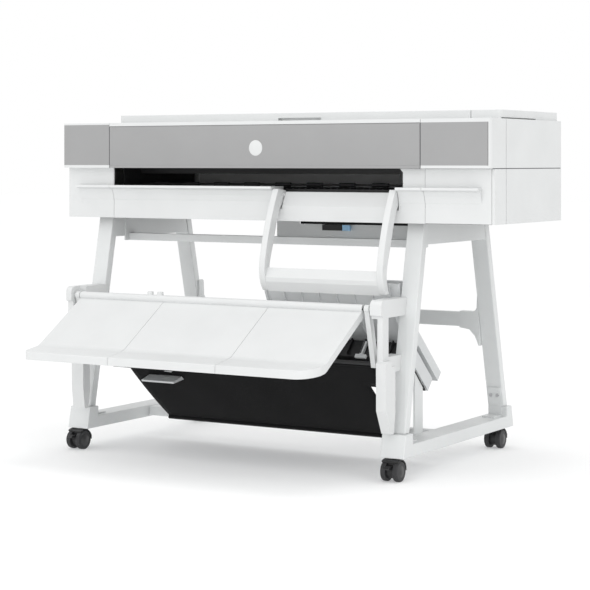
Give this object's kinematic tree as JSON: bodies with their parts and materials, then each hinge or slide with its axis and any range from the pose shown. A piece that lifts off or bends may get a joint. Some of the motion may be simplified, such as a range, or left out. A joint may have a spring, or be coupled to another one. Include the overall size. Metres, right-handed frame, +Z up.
{
  "type": "large format plotter",
  "caption": "Wide roll-fed inkjet plotter on a wheeled two-leg stand, with hinged roll lid, front doors, curved print deflector, output tray and cloth catch basket.",
  "frame": {"origin": "middle of the base, on the floor under the middle of the whole object", "axes": "+Z up, +X to the right of a person facing the front, +Y from the front to the back"},
  "size_m": [1.398, 0.993, 0.9778],
  "materials": {
    "white_frame": "satin powder coat, off white",
    "white_plastic": "fine matte texture, off white",
    "grey_plastic": "fine matte texture, mid grey",
    "ramp_grey": "matte, light grey",
    "black_plastic": "matte black",
    "wheel_black": "satin black tread",
    "black_cloth": "woven black cloth",
    "steel": "bright steel",
    "black_metal": "black painted sheet steel",
    "screen_black": "glossy black panel",
    "ink_body": "matte dark grey",
    "blue_tab": "light blue touch point"
  },
  "bodies": {
    "stand": {"carriage_belt": "wheel_black", "carriage_rail": "black_metal", "catch_frame": "black_metal", "catch_sheet": "black_cloth", "chassis": "black_metal", "control_pod": "white_plastic", "electronics_box": "white_frame", "foot_plates": "white_frame", "front_posts": "white_plastic", "ink_cartridges": "ink_body", "left_cover": "white_plastic", "left_foot": "white_frame", "left_front_leg": "white_frame", "left_front_panel": "grey_plastic", "left_rear_leg": "white_frame", "left_top_beam": "white_frame", "lower_crossbar": "white_frame", "lower_front_cover": "white_plastic", "paper_guide": "ramp_grey", "platen": "black_plastic", "power_inlet": "black_plastic", "ramp_supports": "white_frame", "rear_crossbeam": "white_frame", "rear_gussets": "white_frame", "right_cover": "white_plastic", "right_foot": "white_frame", "right_front_leg": "white_frame", "right_front_panel": "grey_plastic", "right_rear_leg": "white_frame", "right_top_beam": "white_frame", "service_station": "black_plastic", "stacker_connector": "black_plastic", "stacker_ramp": "ramp_grey", "stand_screws": "steel", "top_cover": "white_plastic", "upper_crossbeam": "white_frame"},
    "front_left_swivel": {"front_left_caster": "black_plastic"},
    "front_left_roll": {"front_left_wheels": "wheel_black"},
    "front_left_brake": {"front_left_brake": "black_plastic"},
    "front_right_swivel": {"front_right_caster": "black_plastic"},
    "front_right_roll": {"front_right_wheels": "wheel_black"},
    "front_right_brake": {"front_right_brake": "black_plastic"},
    "rear_left_swivel": {"rear_left_caster": "black_plastic"},
    "rear_left_roll": {"rear_left_wheels": "wheel_black"},
    "rear_right_swivel": {"rear_right_caster": "black_plastic"},
    "rear_right_roll": {"rear_right_wheels": "wheel_black"},
    "tray": {"tray_panels": "white_plastic", "tray_hinge_rail": "white_plastic"},
    "deflector": {"deflector_arms": "white_plastic", "deflector_plate": "white_plastic"},
    "centre_door": {"centre_door": "grey_plastic"},
    "ink_door": {"ink_door": "white_plastic"},
    "lid": {"lid": "white_plastic"},
    "touch_panel": {"touch_panel": "screen_black"},
    "power_button": {"power_button": "white_plastic"},
    "latch_tab": {"latch_tab": "blue_tab"},
    "carriage": {"carriage": "black_plastic"},
    "feed_roller": {"feed_roller": "wheel_black"},
    "pinch_rollers": {"pinch_rollers": "wheel_black"},
    "roll_spindle": {"roll_spindle": "steel"}
  },
  "joints": [
    {"name": "front_left_swivel", "type": "hinge", "parent": "stand", "child": "front_left_swivel", "pos_m": [-0.586, -0.1735, 0.052], "axis": [0, 0, 1], "continuous": true},
    {"name": "front_left_roll", "type": "hinge", "parent": "front_left_swivel", "child": "front_left_roll", "pos_m": [-0.58767, -0.19744, 0.027], "axis": [0.9976, -0.0698, 0], "continuous": true},
    {"name": "front_left_brake", "type": "hinge", "parent": "front_left_swivel", "child": "front_left_brake", "pos_m": [-0.58893, -0.2154, 0.041], "axis": [0.9976, -0.0698, 0], "range_deg": [0, 14]},
    {"name": "front_right_swivel", "type": "hinge", "parent": "stand", "child": "front_right_swivel", "pos_m": [0.451, -0.1735, 0.052], "axis": [0, 0, 1], "continuous": true},
    {"name": "front_right_roll", "type": "hinge", "parent": "front_right_swivel", "child": "front_right_roll", "pos_m": [0.45142, -0.1975, 0.027], "axis": [0.9998, 0.0175, 0], "continuous": true},
    {"name": "front_right_brake", "type": "hinge", "parent": "front_right_swivel", "child": "front_right_brake", "pos_m": [0.45173, -0.21549, 0.041], "axis": [0.9998, 0.0175, 0], "range_deg": [0, 14]},
    {"name": "rear_left_swivel", "type": "hinge", "parent": "stand", "child": "rear_left_swivel", "pos_m": [-0.586, 0.4685, 0.052], "axis": [0, 0, 1], "continuous": true},
    {"name": "rear_left_roll", "type": "hinge", "parent": "rear_left_swivel", "child": "rear_left_roll", "pos_m": [-0.58767, 0.44456, 0.027], "axis": [0.9976, -0.0698, 0], "continuous": true},
    {"name": "rear_right_swivel", "type": "hinge", "parent": "stand", "child": "rear_right_swivel", "pos_m": [0.451, 0.4685, 0.052], "axis": [0, 0, 1], "continuous": true},
    {"name": "rear_right_roll", "type": "hinge", "parent": "rear_right_swivel", "child": "rear_right_roll", "pos_m": [0.45142, 0.4445, 0.027], "axis": [0.9998, 0.0175, 0], "continuous": true},
    {"name": "tray_hinge", "type": "hinge", "parent": "stand", "child": "tray", "pos_m": [0, -0.2275, 0.452], "axis": [-1, 0, 0], "range_deg": [0, 60]},
    {"name": "deflector_swing", "type": "hinge", "parent": "stand", "child": "deflector", "pos_m": [0, -0.0875, 0.748], "axis": [-1, 0, 0], "range_deg": [0, 35]},
    {"name": "centre_door_hinge", "type": "hinge", "parent": "stand", "child": "centre_door", "pos_m": [0, -0.1215, 0.94], "axis": [-1, 0, 0], "range_deg": [0, 75]},
    {"name": "ink_door_hinge", "type": "hinge", "parent": "stand", "child": "ink_door", "pos_m": [0, -0.0975, 0.678], "axis": [1, 0, 0], "range_deg": [0, 80]},
    {"name": "lid_hinge", "type": "hinge", "parent": "stand", "child": "lid", "pos_m": [0, 0.355, 0.9535], "axis": [-1, 0, 0], "range_deg": [0, 80]},
    {"name": "panel_tilt", "type": "hinge", "parent": "stand", "child": "touch_panel", "pos_m": [0, 0.1085, 0.977], "axis": [-1, 0, 0], "range_deg": [0, 60]},
    {"name": "power_press", "type": "slide", "parent": "stand", "child": "power_button", "axis": [0, 0, -1], "range_m": [0, 0.0015], "stiffness_N_per_m": 400, "springref_m": -0.0006},
    {"name": "latch_slide", "type": "slide", "parent": "stand", "child": "latch_tab", "axis": [0, 0, -1], "range_m": [0, 0.006], "stiffness_N_per_m": 200, "springref_m": -0.002},
    {"name": "carriage_slide", "type": "slide", "parent": "stand", "child": "carriage", "axis": [-1, 0, 0], "range_m": [0, 0.9]},
    {"name": "feed_spin", "type": "hinge", "parent": "stand", "child": "feed_roller", "pos_m": [0, 0.0425, 0.754], "axis": [1, 0, 0], "continuous": true},
    {"name": "pinch_spin", "type": "hinge", "parent": "stand", "child": "pinch_rollers", "pos_m": [0, 0.0425, 0.7734], "axis": [1, 0, 0], "continuous": true},
    {"name": "spindle_spin", "type": "hinge", "parent": "stand", "child": "roll_spindle", "pos_m": [0, 0.1985, 0.854], "axis": [1, 0, 0], "continuous": true}
  ],
  "couplings": [
    {"joint": "pinch_spin", "follows": "feed_spin", "ratio": -2.1667}
  ]
}
